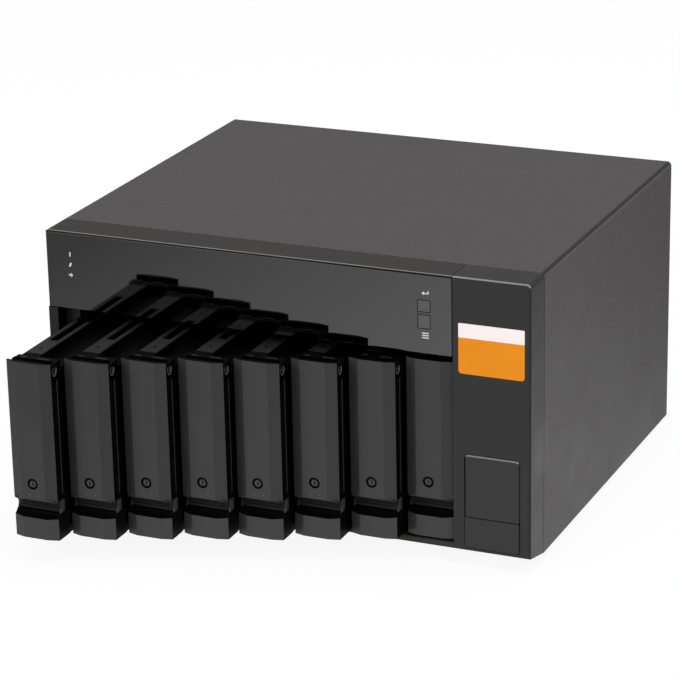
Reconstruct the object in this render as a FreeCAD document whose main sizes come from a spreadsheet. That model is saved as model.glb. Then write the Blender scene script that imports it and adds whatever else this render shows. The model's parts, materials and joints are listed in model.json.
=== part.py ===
"""Disk shelf enclosure: a desktop steel case with eight pull-out drive trays.

Millimetres; +X is to the right seen from the front, +Y to the back, +Z up.
The origin is on the surface the feet stand on, below the middle of the whole shelf
with its trays pulled out in steps, as they stand here.  Lengths along Y in the
functions below are counted from the bezel's front plane, and each sub-part's
Placement then carries it to its place.
"""
import FreeCAD, Part
import math
import os
import re
import Sketcher

SIZES = {
    # case
    "case_width": 329.3,
    "case_height": 188.2,
    "case_depth": 279.6,
    "front_y": -94.6,        # the bezel's front plane
    "foot_height": 4.7,
    "steel": 1.2,
    "seam": 0.4,
    "edge_round": 3.0,
    "lip": 0.8,              # bevel of the top front edge of the column and of the power key
    "cover_clear": 1.9,      # below the cover's rounded inner corners
    "base_half": 163.45,     # outside of the base, against the cover
    "front_plate_y": 24.4,
    "rear_y": 276.9,         # inner face of the rear panel
    "case_screw_drop": 8.0,
    "slot_pitch": 12.0,      # of the grilles in the rear panel
    "slot_width": 7.0,
    "slot_reach": 55.5,
    "foot_x": 138.0,
    "foot_front_y": 42.0,
    "foot_back_y": 252.0,
    "foot_long": 32.0,
    "foot_wide": 14.0,
    "security_x": 108.5,
    "security_z": 165.5,
    "security_long": 7.0,
    "security_high": 3.0,
    # bezel and the gloss panel on it
    "bezel_depth": 24.0,
    "bezel_right": 113.9,
    "bezel_wall": 2.0,
    "bezel_toe": 10.0,       # height of the bezel's front edge above the surface
    "panel_left": -164.1,
    "panel_right": 113.6,
    "panel_low": 136.3,
    "panel_high": 186.9,
    "panel_thick": 3.0,
    "bay_left": -158.0,
    "bay_low": 13.5,
    "bay_high": 136.0,
    # column at the right
    "column_left": 114.1,
    "power_left": 121.7,
    "power_right": 157.2,
    "power_low": 32.8,
    "power_high": 73.7,
    "power_round": 1.9,
    "power_proud": 0.6,
    "recess_play": 0.5,
    "badge_low": 12.2,
    "badge_high": 32.2,
    # keys and lamps of the gloss panel
    "key_play": 0.35,
    "enter_left": 91.6,
    "enter_right": 99.4,
    "enter_low": 163.3,
    "enter_high": 170.5,
    "select_low": 152.6,
    "select_high": 161.1,
    "key_proud": 0.4,        # the two keys stand this far in front of the panel
    "key_back": 5.7,
    "key_stop": 1.9,         # side flanges behind the bezel wall
    "board_y": 9.6,
    "switch_gap": 0.7,       # height of a switch on its board
    "lamp_x": -147.2,
    "lamp_high": 173.0,
    "lamp_step": 6.95,
    "pipe_back": 7.2,        # front of the bar behind the light pipe's prongs
    # trays
    "tray_left": -146.3,
    "tray_pitch": 32.7,
    "tray_width": 30.7,
    "tray_low": 15.2,
    "tray_back": 16.0,       # back of the tray's front wall
    "band_left": 6.6,
    "band_right": 7.4,
    "band_drop": 2.0,
    "plate_low": 41.0,
    "plate_high": 132.2,
    "plate_deep": 9.5,
    "grip_low": 32.7,
    "pivot_y": 7.0,
    "pivot_z": 127.0,
    "pivot_pin": 1.25,
    "pivot_seat": 1.36,      # over corners; 0.06 clear of the pin at its flats
    "lock_x": 14.7,
    "lock_z": 51.9,
    "lock_core": 2.9,
    "lock_ring": 0.8,
    "lock_collar": 3.9,      # half width of the collar; one corner is round about the lock's axis
    "wall_front": 11.0,      # front of the carrier's wall behind the handle
    "wall_inset": 1.0,
    "vent_low": 60.0,        # the two tall openings in that wall
    "vent_high": 118.0,
    "vent_wide": 5.0,
    "ear_inset": 0.4,        # the two ears that carry the handle's pin
    "ear_thick": 2.0,
    "scoop_y": -1.5,         # centre of the toe's finger scoop
    "scoop_z": 36.9,
    "scoop_radius": 8.0,
    "grip_scoop_y": -3.0,    # centre of the hollow under the handle's grip
    "grip_scoop_z": 32.2,
    "grip_scoop_radius": 9.5,
    "face_thick": 3.0,
    "groove_high": 0.85,     # the two finger grooves across the grip
    "groove_low_z": 34.7,
    "groove_top_z": 36.8,
    "rail_left": 3.2,
    "rail_right": 15.8,
    "rail_low": 16.6,
    "rail_high": 129.6,
    "rail_thick": 5.3,
    "deck_right": 29.7,      # the rails' thin decks reach over the drive's whole thickness
    "deck_thick": 1.5,
    "heel_high": 20.4,
    "heel_back": 24.0,
    "rail_end": 163.0,
    "strip_thick": 1.4,
    "pull_1": 90.4,
    "pull_2": 76.6,
    "pull_3": 63.3,
    "pull_4": 50.8,
    "pull_5": 39.7,
    "pull_6": 26.6,
    "pull_7": 13.0,
    "pull_8": 0.0,
    # cage and backplane
    "cage_left": -149.4,
    "cage_right": 116.6,
    "cage_floor": 12.8,
    "cage_roof": 133.6,
    "cage_end": 175.0,
    "guide_thick": 1.6,
    "socket_deep": 10.5,
    "socket_low": 62.0,
    "socket_high": 105.0,
    # fans
    "fan_size": 120.0,
    "fan_deep": 25.0,
    "fan_bore": 58.0,
    "fan_holes": 105.0,
    "fan_left_x": -98.0,
    "fan_right_x": 26.0,
    "fan_z": 72.0,
    "fan_hub": 20.0,
    "fan_tip": 54.5,
    "shaft": 1.5,
    "shaft_seat": 1.61,      # over corners; 0.06 clear of the shaft at its flats
    # power supply
    "psu_left": 119.6,
    "psu_width": 40.5,
    "psu_low": 12.0,
    "psu_height": 81.5,
    "psu_length": 150.0,
    "psu_fan_z": 67.0,
    "psu_duct": 19.0,
    "psu_duct_deep": 16.0,
    "inlet_z": 28.0,
    # rear ports
    "port_z": 157.0,
    "port_left_x": -78.0,
    "port_right_x": -42.0,
    "port_board_low": 149.6,
    "port_half": 13.0,
    "port_tall": 5.5,
    "port_play": 0.4,
    "port_deep": 34.0,
}
TRAYS = range(1, 9)
CASE_SCREWS_X = ("-130", "0", "130")
SCREW_SIDES = 6
PIN_SIDES = 12
LOCK_SIDES = 12
HUB_SIDES = 16
PLANES = {"X": "YZ_Plane", "Y": "XZ_Plane", "Z": "XY_Plane"}

doc = FreeCAD.newDocument("disk_shelf")
sheet = doc.addObject("Spreadsheet::Sheet", "dims")
for row, (alias, number) in enumerate(SIZES.items(), 1):
    sheet.set(f"A{row}", alias)
    sheet.set(f"B{row}", str(number))
    sheet.setAlias(f"B{row}", alias)
doc.recompute()
PIECES = []


# ---- ways to draw and to build ----

def bind(thing, field, text):
    """Binds one property to a formula in the sheet's names."""
    formula = re.sub(r"[a-z_][a-z_0-9]*", lambda word: "dims." + word[0] if word[0] in SIZES else word[0],
                     str(text))
    thing.setExpression(field, formula)


def piece(label, thing, x="0", y="front_y", z="0"):
    """Names a sub-part and puts it in its place."""
    thing.Label = label
    for axis, text in zip("xyz", (x, y, z)):
        bind(thing, "Placement.Base." + axis, text)
    PIECES.append(thing)
    return thing


def hold(sketch, kind, text, *where):
    """One dimension of a sketch, bound to a formula."""
    index = sketch.addConstraint(Sketcher.Constraint(kind, *where, 1.0))
    bind(sketch, f"Constraints[{index}]", text)


def poly(*corners):
    """A closed outline of straight lines through the corners."""
    def draw(sketch):
        first, count = sketch.GeometryCount, len(corners)
        start = [FreeCAD.Vector(10 * math.cos(math.tau * k / count), 10 * math.sin(math.tau * k / count), 0)
                 for k in range(count)]
        for k in range(count):
            sketch.addGeometry(Part.LineSegment(start[k], start[(k + 1) % count]), False)
        for k in range(count):
            sketch.addConstraint(Sketcher.Constraint("Coincident", first + k, 2, first + (k + 1) % count, 1))
        for k, (across, up) in enumerate(corners):
            hold(sketch, "DistanceX", across, -1, 1, first + k, 1)
            hold(sketch, "DistanceY", up, -1, 1, first + k, 1)
    return draw


def rect(left, right, low, high):
    return poly((left, low), (right, low), (right, high), (left, high))


def ring(across, up, radius, sides):
    """A regular outline with few sides, for round forms that repeat."""
    angles = [360 / sides * (k + 0.5) for k in range(sides)]
    return poly(*[(f"{across} + ({radius})*cos({angle})", f"{up} + ({radius})*sin({angle})")
                  for angle in angles])


def disc(across, up, radius):
    """A circle about a point."""
    def draw(sketch):
        circle = Part.Circle(FreeCAD.Vector(1, 1, 0), FreeCAD.Vector(0, 0, 1), 1)
        index = sketch.addGeometry(circle, False)
        hold(sketch, "DistanceX", across, -1, 1, index, 3)
        hold(sketch, "DistanceY", up, -1, 1, index, 3)
        hold(sketch, "Radius", radius, index)
    return draw


def new_body(label, **place):
    return piece(label, doc.addObject("PartDesign::Body", label), **place)


def new_sketch(body, axis, level, shapes):
    """A sketch square to an axis, at a level along it."""
    sketch = body.newObject("Sketcher::SketchObject", "sketch")
    plane = next(item for item in body.Origin.OriginFeatures if item.Role == PLANES[axis])
    sketch.AttachmentSupport = [(plane, "")]
    sketch.MapMode = "FlatFace"
    bind(sketch, "AttachmentOffset.Base.z", f"-({level})" if axis == "Y" else level)
    for draw in shapes:
        draw(sketch)
    return sketch


def extrude(kind, body, axis, low, high, shapes):
    """Pads or pockets the shapes between two levels along an axis."""
    sketch = new_sketch(body, axis, low, shapes)
    step = body.newObject("PartDesign::" + kind, kind.lower())
    step.Profile = sketch
    bind(step, "Length", f"({high}) - ({low})")
    normal_is_up = axis != "Y"
    step.Reversed = normal_is_up if kind == "Pocket" else not normal_is_up
    doc.recompute()
    return step


def add(body, axis, low, high, *shapes):
    return extrude("Pad", body, axis, low, high, shapes)


def carve(body, axis, low, high, *shapes):
    volume = body.Tip.Shape.Volume
    step = extrude("Pocket", body, axis, low, high, shapes)
    if step.Shape.Volume > volume - 1e-3:
        raise RuntimeError(f"a pocket of {body.Label} removes nothing")
    return step


def dress(kind, body, size, chosen):
    """Fillets or chamfers the edges whose bounds the test accepts."""
    tip = body.Tip
    names = [f"Edge{n}" for n, edge in enumerate(tip.Shape.Edges, 1) if chosen(edge.BoundBox)]
    step = body.newObject("PartDesign::" + kind, kind.lower())
    step.Base = (tip, names)
    bind(step, "Radius" if kind == "Fillet" else "Size", size)
    doc.recompute()
    return step


def at(low, high, *values):
    """Whether both ends of an edge lie at one of the values."""
    return any(abs(low - value) < 0.01 and abs(high - value) < 0.01 for value in values)


def block(x, y, z):
    """A Part box between two planes each way."""
    box = doc.addObject("Part::Box", "block")
    for side, axis, (low, high) in zip(("Length", "Width", "Height"), "xyz", (x, y, z)):
        bind(box, side, f"({high}) - ({low})")
        bind(box, "Placement.Base." + axis, low)
    return box


def rod(x, y, z, radius, length, sides=0):
    """A Part cylinder along +Y from its low end, or a prism where sides are given."""
    bar = doc.addObject("Part::Prism" if sides else "Part::Cylinder", "rod")
    if sides:
        bar.Polygon = sides
    bind(bar, "Circumradius" if sides else "Radius", radius)
    bind(bar, "Height", length)
    bar.Placement.Rotation = FreeCAD.Rotation(FreeCAD.Vector(1, 0, 0), -90)
    for name, text in zip("xyz", (x, y, z)):
        bind(bar, "Placement.Base." + name, text)
    return bar


def fuse(*parts):
    joined = doc.addObject("Part::MultiFuse", "fuse")
    joined.Shapes = list(parts)
    joined.Refine = True
    return joined


def cut(base, *tools):
    cutting = doc.addObject("Part::Cut", "cut")
    cutting.Base = base
    cutting.Tool = tools[0] if len(tools) == 1 else fuse(*tools)
    return cutting


def group(*parts):
    """Separate solids that share one node."""
    compound = doc.addObject("Part::Compound", "group")
    compound.Links = list(parts)
    return compound


# ---- case ----

def outer_cover():
    """Bent steel: the top and both sides, with rounded long edges."""
    half, foot, top, wall = "case_width/2", "foot_height", "case_height", "steel"
    body = new_body("outer_cover")
    add(body, "Y", "bezel_depth + seam/2", "case_depth",
        poly((f"-{half}", foot), (f"-{half}", top), (half, top), (half, foot),
             (f"{half} - {wall}", foot), (f"{half} - {wall}", f"{top} - {wall}"),
             (f"-{half} + {wall}", f"{top} - {wall}"), (f"-{half} + {wall}", foot)))
    for inset, radius in ((0, "edge_round"), (SIZES["steel"], "edge_round - steel")):
        side, height = SIZES["case_width"] / 2 - inset, SIZES["case_height"] - inset
        dress("Fillet", body, radius,
              lambda box: at(box.XMin, box.XMax, -side, side) and at(box.ZMin, box.ZMax, height))


def base_chassis():
    """Bent steel: floor, front frame and two side flanges inside the cover."""
    body = new_body("base_chassis")
    add(body, "Z", "foot_height", "foot_height + steel",
        rect("-base_half", "base_half", "front_plate_y", "rear_y + steel"))
    add(body, "Y", "front_plate_y", "front_plate_y + steel",
        rect("-base_half", "base_half", "foot_height", "case_height - steel - cover_clear"))
    for low, high in (("-base_half", "-base_half + steel"), ("base_half - steel", "base_half")):
        add(body, "X", low, high, rect("front_plate_y", "rear_y - seam", "foot_height", "bezel_toe + 6"))
    carve(body, "Y", "front_plate_y", "front_plate_y + steel",
          rect("cage_left + steel", "cage_right - steel", "cage_floor + steel", "cage_roof - steel"),
          rect("column_left + 10", "column_left + 41", "power_high + 12", "case_height - 40"),
          rect("cage_left + 20", "cage_right - 40", "bay_high + 8", "case_height - 14"))


def rear_panel():
    """Steel back with slotted fan grilles, port windows and a shelf for the port board."""
    back, out = "rear_y", "rear_y + steel"
    tools = [block(("psu_left + 1", "psu_left + psu_width - 1"), (back, out),
                   ("psu_low + 1", "psu_low + psu_height - 1")),
             block(("security_x - security_long/2", "security_x + security_long/2"), (back, out),
                   ("security_z - security_high/2", "security_z + security_high/2"))]
    for fan in ("fan_left_x", "fan_right_x"):
        for column in range(-4, 5):
            middle = f"{fan} + {column}*slot_pitch"
            reach = f"sqrt(slot_reach^2 - ({column}*slot_pitch)^2)"
            for low, high in ((f"fan_z - {reach}", "fan_z - 3"), ("fan_z + 3", f"fan_z + {reach}")):
                tools.append(block((f"{middle} - slot_width/2", f"{middle} + slot_width/2"), (back, out),
                                   (low, high)))
    tools += [rod(x, back, z, f"{thread} + 0.2", "steel", SCREW_SIDES)
              for x, z, head, thread, length in rear_screw_places()]
    for port in ("port_left_x", "port_right_x"):
        across, up = "port_half + port_play", "port_tall + port_play"
        tools.append(block((f"{port} - ({across})", f"{port} + ({across})"), (back, out),
                           (f"port_z - ({up})", f"port_z + ({up})")))
    plate = block(("-base_half", "base_half"), (back, out),
                  ("foot_height + steel", "case_height - steel - cover_clear"))
    shelf = block(("port_left_x - port_half - 5", "port_right_x + port_half + 5"), (f"{back} - 16", back),
                  ("port_board_low - steel", "port_board_low"))
    piece("rear_panel", fuse(cut(plate, *tools), shelf))


def rubber_feet():
    """Four pads that taper towards the surface."""
    feet = []
    for x in ("-foot_x", "foot_x"):
        for y in ("foot_front_y", "foot_back_y"):
            foot = doc.addObject("Part::Wedge", "foot")
            for corner, text in (("Xmin", f"{x} - foot_long/2"), ("Xmax", f"{x} + foot_long/2"),
                                 ("Zmin", f"{y} - foot_wide/2"), ("Zmax", f"{y} + foot_wide/2"),
                                 ("X2min", f"{x} - foot_long/2 + 1.5"), ("X2max", f"{x} + foot_long/2 - 1.5"),
                                 ("Z2min", f"{y} - foot_wide/2 + 1.5"), ("Z2max", f"{y} + foot_wide/2 - 1.5"),
                                 ("Ymin", "-foot_height"), ("Ymax", "0")):
                bind(foot, corner, text)
            foot.Placement.Rotation = FreeCAD.Rotation(FreeCAD.Vector(1, 0, 0), -90)
            feet.append(foot)
    piece("rubber_feet", group(*feet))


def rear_screw_places():
    """Place, head radius, thread radius and length of each screw in the rear panel."""
    fan_corners = [(f"{fan} + {side}*fan_holes/2", f"fan_z + {end}*fan_holes/2", "3.6", "2.0", "9")
                   for fan in ("fan_left_x", "fan_right_x") for side in (-1, 1) for end in (-1, 1)]
    return fan_corners + [(x, "case_height - case_screw_drop", "3.8", "1.9", "steel") for x in CASE_SCREWS_X]


def rear_screws():
    screws = [fuse(rod(x, "rear_y + steel", z, head, "1.4", SCREW_SIDES + 2),
                   rod(x, f"rear_y + steel - {length}", z, thread, length, SCREW_SIDES))
              for x, z, head, thread, length in rear_screw_places()]
    piece("rear_screws", group(*screws))


# ---- front ----

def bezel_slope(body, left, right):
    """Cuts the underside so that it rises from the case's floor to the front edge."""
    carve(body, "X", left, right,
          poly(("-1", "foot_height - 1"), ("bezel_depth", "foot_height - 1"), ("bezel_depth", "foot_height"),
               ("0", "bezel_toe"), ("-1", "bezel_toe")))


def front_bezel():
    """Moulded frame round the bays, hollow behind the gloss panel."""
    body = new_body("front_bezel")
    half = "case_width/2"
    add(body, "Y", "0", "bezel_depth", rect(f"-{half}", "bezel_right", "foot_height", "case_height"))
    carve(body, "Y", "0", "bezel_depth", rect("bay_left", "bezel_right + 1", "bay_low", "bay_high"))
    carve(body, "Y", "0", "panel_thick + seam",
          rect(f"-{half} - 1", "bezel_right + 1", "bay_high", "case_height - 0.8"))
    carve(body, "Y", "panel_thick + seam + bezel_wall", "bezel_depth",
          rect(f"-{half} + bezel_wall", "bezel_right - bezel_wall", "bay_high + bezel_wall",
               "case_height - bezel_wall"))
    bezel_slope(body, f"-{half} - 1", "bezel_right + 1")
    add(body, "Y", "10", "bezel_depth", rect("bay_left", "tray_left - 1.2", "bay_low", "bay_high"))
    for x in ("-158", "-60", "40", "106"):
        add(body, "Y", "panel_thick + seam + bezel_wall", "board_y",
            rect(f"{x} - 2", f"{x} + 2", "case_height - 12", "case_height - bezel_wall"))
    carve(body, "Y", "panel_thick + seam", "panel_thick + seam + bezel_wall",
          rect("enter_left - 1.1", "enter_right + 1.1", "select_low - 1.1", "enter_high + 1.1"),
          rect("lamp_x - 1.8", "lamp_x + 1.8", "lamp_high - 2*lamp_step - 1.8", "lamp_high + 1.8"))
    top, left = SIZES["case_height"], -SIZES["case_width"] / 2
    dress("Fillet", body, "edge_round",
          lambda box: at(box.XMin, box.XMax, left) and at(box.ZMin, box.ZMax, top))
    dress("Chamfer", body, "0.35", lambda box: at(box.YMin, box.YMax, 0) and at(box.ZMin, box.ZMax, top))


def column_fascia():
    """Moulded column at the right, with its own piece of the top and the side."""
    body = new_body("column_fascia")
    half = "case_width/2"
    add(body, "Y", "0", "bezel_depth", rect("column_left", half, "foot_height", "case_height"))
    carve(body, "Y", "bezel_wall", "bezel_depth",
          rect("column_left + bezel_wall", f"{half} - bezel_wall", "badge_low + 2",
               "case_height - bezel_wall"))
    bezel_slope(body, "column_left - 1", f"{half} + 1")
    add(body, "Y", "bezel_wall", "board_y",
        rect("power_left", "power_left + 4", "power_high + 4", "power_high + 8"),
        rect("power_right - 4", "power_right", "power_high + 4", "power_high + 8"))
    carve(body, "Y", "0", "bezel_wall",
          rect("power_left - recess_play", "power_right + recess_play", "badge_low - recess_play",
               "power_high + recess_play"))
    right, top = SIZES["case_width"] / 2, SIZES["case_height"]
    dress("Fillet", body, "edge_round",
          lambda box: at(box.XMin, box.XMax, right) and at(box.ZMin, box.ZMax, top))
    dress("Chamfer", body, "lip", lambda box: at(box.YMin, box.YMax, 0) and at(box.ZMin, box.ZMax, top))
    play = SIZES["recess_play"]
    opening = (SIZES["power_left"] - play, SIZES["power_right"] + play)
    ends = (SIZES["badge_low"] - play, SIZES["power_high"] + play)
    dress("Fillet", body, "power_round + recess_play",
          lambda box: at(box.XMin, box.XMax, *opening) and at(box.ZMin, box.ZMax, *ends))


def display_panel():
    """Gloss tinted panel above the bays, with windows for the two keys; the lamps shine through it."""
    body = new_body("display_panel")
    add(body, "Y", "0", "panel_thick", rect("panel_left", "panel_right", "panel_low", "panel_high"))
    carve(body, "Y", "0", "panel_thick",
          rect("enter_left - key_play", "enter_right + key_play", "enter_low - key_play",
               "enter_high + key_play"),
          rect("enter_left - key_play", "enter_right + key_play", "select_low - key_play",
               "select_high + key_play"))
    ends = (SIZES["panel_left"], SIZES["panel_right"])
    dress("Chamfer", body, "0.3",
          lambda box: at(box.YMin, box.YMax, 0) and (box.XLength > 100 or at(box.XMin, box.XMax, *ends)))


def panel_key(label, low, high):
    """A small key: cap, side flanges that stop it behind the bezel wall, and plunger."""
    body = new_body(label)
    stop, across, up = "key_back + 0.9", "(enter_left + enter_right)/2", f"(({low}) + ({high}))/2"
    add(body, "Y", "-key_proud", "key_back", rect("enter_left", "enter_right", low, high))
    add(body, "Y", "key_back", stop, rect("enter_left - key_stop", "enter_right + key_stop", low, high))
    add(body, "Y", stop, "board_y - switch_gap - 0.6",
        rect(f"{across} - 1.3", f"{across} + 1.3", f"{up} - 1.3", f"{up} + 1.3"))
    dress("Chamfer", body, "0.3", lambda box: at(box.YMin, box.YMax, -SIZES["key_proud"]))


def power_button():
    """Large key low on the column, rounded at its top corners."""
    body = new_body("power_button")
    add(body, "Y", "-power_proud", "bezel_wall + 0.6",
        rect("power_left", "power_right", "power_low", "power_high"))
    sides, top = (SIZES["power_left"], SIZES["power_right"]), SIZES["power_high"]
    dress("Fillet", body, "power_round",
          lambda box: at(box.ZMin, box.ZMax, top) and at(box.XMin, box.XMax, *sides))
    front = -SIZES["power_proud"]
    dress("Chamfer", body, "lip", lambda box: at(box.YMin, box.YMax, front) and at(box.ZMin, box.ZMax, top))
    add(body, "Y", "bezel_wall + 0.6", "bezel_wall + 1.8",
        rect("power_left - 1.7", "power_right + 1.7", "power_low + 1", "power_high + 2"))
    across, up = "(power_left + power_right)/2", "(power_low + power_high)/2"
    add(body, "Y", "bezel_wall + 1.8", "board_y - switch_gap - 0.9",
        rect(f"{across} - 3", f"{across} + 3", f"{up} - 3", f"{up} + 3"))


def badge_plate():
    """Bare plate under the power key, in the same recess."""
    body = new_body("badge_plate")
    add(body, "Y", "-power_proud", "bezel_wall", rect("power_left", "power_right", "badge_low", "badge_high"))
    sides, low = (SIZES["power_left"], SIZES["power_right"]), SIZES["badge_low"]
    dress("Fillet", body, "power_round",
          lambda box: at(box.ZMin, box.ZMax, low) and at(box.XMin, box.XMax, *sides))
    add(body, "Y", "bezel_wall", "bezel_wall + 1.4",
        rect("power_left - 1.7", "power_right + 1.7", "badge_low + 2.4", "badge_high - 1"))


def light_pipe():
    """Clear moulding that carries three lamps to the back of the gloss panel."""
    prongs = [rod("lamp_x", "panel_thick", f"lamp_high - {n}*lamp_step", "1.4", "pipe_back - panel_thick", 8)
              for n in range(3)]
    bar = block(("lamp_x - 1.5", "lamp_x + 1.5"), ("pipe_back", "pipe_back + 2"),
                ("lamp_high - 2*lamp_step - 1.5", "lamp_high + 1.5"))
    piece("light_pipe", fuse(bar, *prongs))


def front_boards():
    """Circuit boards with the switches and lamps that the keys and the light pipe meet."""
    board = ("board_y", "board_y + 1.6")

    def switch(x, z, half):
        return block((f"{x} - {half}", f"{x} + {half}"), ("board_y - switch_gap", "board_y"),
                     (f"{z} - {half}", f"{z} + {half}"))

    panel = block(("panel_left + 4", "panel_right - 6"), board, ("panel_low + 10", "case_height - 4"))
    switches = [switch("(enter_left + enter_right)/2", z, 3)
                for z in ("(enter_low + enter_high)/2", "(select_low + select_high)/2")]
    lamps = [block(("lamp_x - 1", "lamp_x + 1"), ("board_y - 0.4", "board_y"),
                   (f"lamp_high - {n}*lamp_step - 0.8", f"lamp_high - {n}*lamp_step + 0.8"))
             for n in range(3)]
    piece("front_board", fuse(panel, *switches, *lamps))
    power = block(("power_left", "power_right"), board, ("power_low + 11", "power_high + 8"))
    piece("power_switch_board",
          fuse(power, switch("(power_left + power_right)/2", "(power_low + power_high)/2", 3.5)))


# ---- drive trays ----

def tray_place(number):
    return {"x": f"tray_left + {number - 1}*tray_pitch", "y": f"front_y - pull_{number}"}


def front_plan(depth):
    """Plan of a tray's front: a flat middle between two slanting bands."""
    return poly(("0", "band_drop"), ("band_left", "0"), ("tray_width - band_right", "0"),
                ("tray_width", "band_drop"), ("tray_width", depth), ("0", depth))


def tray_carrier(number):
    """Moulded carrier: toe block with a finger scoop, front wall, open side and two rails."""
    body = new_body(f"tray_{number}_carrier", **tray_place(number))
    add(body, "Z", "tray_low", "grip_low - 0.3", front_plan("tray_back"))
    carve(body, "X", "-1", "tray_width + 1", disc("scoop_y", "scoop_z", "scoop_radius"))
    add(body, "Y", "tray_back", "heel_back",
        rect("ear_inset", "tray_width - ear_inset", "tray_low", "heel_high"))
    add(body, "Y", "wall_front", "tray_back",
        rect("wall_inset", "tray_width - wall_inset", "grip_low - 3", "rail_high + strip_thick"))
    carve(body, "Y", "wall_front", "tray_back",
          *[rect(f"{middle} - vent_wide/2", f"{middle} + vent_wide/2", "vent_low", "vent_high")
            for middle in ("tray_width/2 - 4.85", "tray_width/2 + 4.85")])
    for low, high in (("ear_inset", "ear_inset + ear_thick"),
                      ("tray_width - ear_inset - ear_thick", "tray_width - ear_inset")):
        add(body, "X", low, high,
            poly(("tray_back - 4", "pivot_z - 7"), ("pivot_y + 0.6", "pivot_z - 3"),
                 ("pivot_y - 2.2", "pivot_z - 2.2"), ("pivot_y - 2.8", "pivot_z"),
                 ("pivot_y - 1.6", "pivot_z + 2.6"), ("pivot_y + 2", "rail_high + strip_thick"),
                 ("tray_back - 4", "rail_high + strip_thick")))
    carve(body, "X", "ear_inset", "tray_width - ear_inset",
          ring("pivot_y", "pivot_z", "pivot_seat", PIN_SIDES))
    add(body, "Y", "tray_back", "rail_end - 3", rect("rail_left", "rail_left + 1", "rail_low", "rail_high"))
    add(body, "Y", "tray_back", "rail_end",
        rect("rail_left", "rail_right", "rail_high - rail_thick", "rail_high"),
        rect("rail_left", "rail_right", "rail_low", "rail_low + rail_thick"))
    add(body, "Y", "tray_back", "rail_end",
        rect("rail_left", "deck_right", "rail_high - rail_thick", "rail_high - rail_thick + deck_thick"),
        rect("rail_left", "deck_right", "rail_low + rail_thick - deck_thick", "rail_low + rail_thick"))
    for low, high in (("rail_high - 3.6", "rail_high"), ("rail_low", "rail_low + 3.6")):
        carve(body, "Z", low, high,
              rect("rail_left + 2.8", "rail_right - 1.8", "tray_back + 4", "rail_end - 5"))


def tray_strips(number):
    """Two snap-on strips over the rails that hold a drive without screws."""
    along = ("tray_back + 0.4", "rail_end - 4.4")
    top = cut(block(("rail_left", "rail_right"), along, ("rail_high", "rail_high + strip_thick")),
              block(("7.5", "11.5"), ("46", "84"), ("rail_high", "rail_high + strip_thick")))
    low = block(("rail_left", "rail_right"), ("heel_back + 0.4", "rail_end - 4.4"),
                ("rail_low - strip_thick", "rail_low"))
    piece(f"tray_{number}_strips", group(top, low), **tray_place(number))


def tray_handle(number):
    """Lever that is the tray's face: hinged at the top, with a ribbed grip at the bottom."""
    body = new_body(f"tray_{number}_handle", **tray_place(number))
    add(body, "Z", "plate_low", "plate_high", front_plan("plate_deep"))
    carve(body, "Y", "face_thick", "plate_deep",
          rect("1.6", "tray_width - 1.6", "plate_low + 2", "plate_high + 1"))
    carve(body, "Y", "face_thick + 0.4", "plate_deep",
          rect("-1", "tray_width + 1", "pivot_z - 7", "plate_high + 1"))
    arm = "ear_inset + ear_thick + 1"
    add(body, "X", arm, f"tray_width - ({arm})",
        rect("face_thick - 0.4", "pivot_y + 0.6", "pivot_z - 0.9", "pivot_z + 0.9"))
    add(body, "X", "0.8", "tray_width - 0.8", ring("pivot_y", "pivot_z", "pivot_pin", PIN_SIDES))
    add(body, "X", "wall_inset", "tray_width - wall_inset", rect("0.6", "8", "grip_low", "plate_low + 0.5"))
    carve(body, "X", "-1", "tray_width + 1", disc("grip_scoop_y", "grip_scoop_z", "grip_scoop_radius"))
    carve(body, "X", "2*wall_inset", "tray_width - 2*wall_inset",
          rect("0.5", "5.9", "groove_top_z", "groove_top_z + groove_high"),
          rect("0.5", "6.9", "groove_low_z", "groove_low_z + groove_high"))
    carve(body, "Y", "0", "face_thick", ring("lock_x", "lock_z", "lock_core + lock_ring", LOCK_SIDES))


def tray_lock(number):
    """Key lock in the handle: core with a keyway, collar and cam."""
    body = new_body(f"tray_{number}_lock", **tray_place(number))
    add(body, "Y", "0.3", "6.4", ring("lock_x", "lock_z", "lock_core", LOCK_SIDES))
    add(body, "Y", "face_thick + 0.3", "face_thick + 1.3",
        rect("lock_x - lock_collar", "lock_x + lock_collar", "lock_z - 3.2", "lock_z + lock_collar"))
    x, z = SIZES["lock_x"] - SIZES["lock_collar"], SIZES["lock_z"] + SIZES["lock_collar"]
    dress("Fillet", body, "lock_collar", lambda box: at(box.XMin, box.XMax, x) and at(box.ZMin, box.ZMax, z))
    add(body, "Y", "5.2", "6.4", rect("lock_x - 2", "lock_x + 2", "lock_z - 6.9", "lock_z"))
    carve(body, "Y", "0.3", "1.5", rect("lock_x - 0.5", "lock_x + 0.5", "lock_z - 1.7", "lock_z + 1.7"))


# ---- cage, boards, fans and power supply ----

def drive_cage():
    """Steel shell round the eight trays, and the guide ribs in it."""
    inner = ("front_plate_y + steel", "cage_end")
    walls = [block((left, f"{left} + steel"), inner, ("foot_height + steel", "cage_roof"))
             for left in ("cage_left", "cage_right - steel")]
    plates = [block(("cage_left", "cage_right"), inner, (low, f"{low} + steel"))
              for low in ("cage_floor", "cage_roof - steel")]
    piece("drive_cage", fuse(*walls, *plates))
    middles = [f"tray_left - 1 + {n}*tray_pitch" for n in range(len(TRAYS) + 1)]
    guides = [block((f"{middle} - guide_thick/2", f"{middle} + guide_thick/2"),
                    (inner[0], "rail_end"), (low, high))
              for middle in middles
              for low, high in (("cage_floor + steel", "rail_low + 3"),
                                ("rail_high - 3", "cage_roof - steel"))]
    piece("tray_guides", group(*guides))


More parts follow.
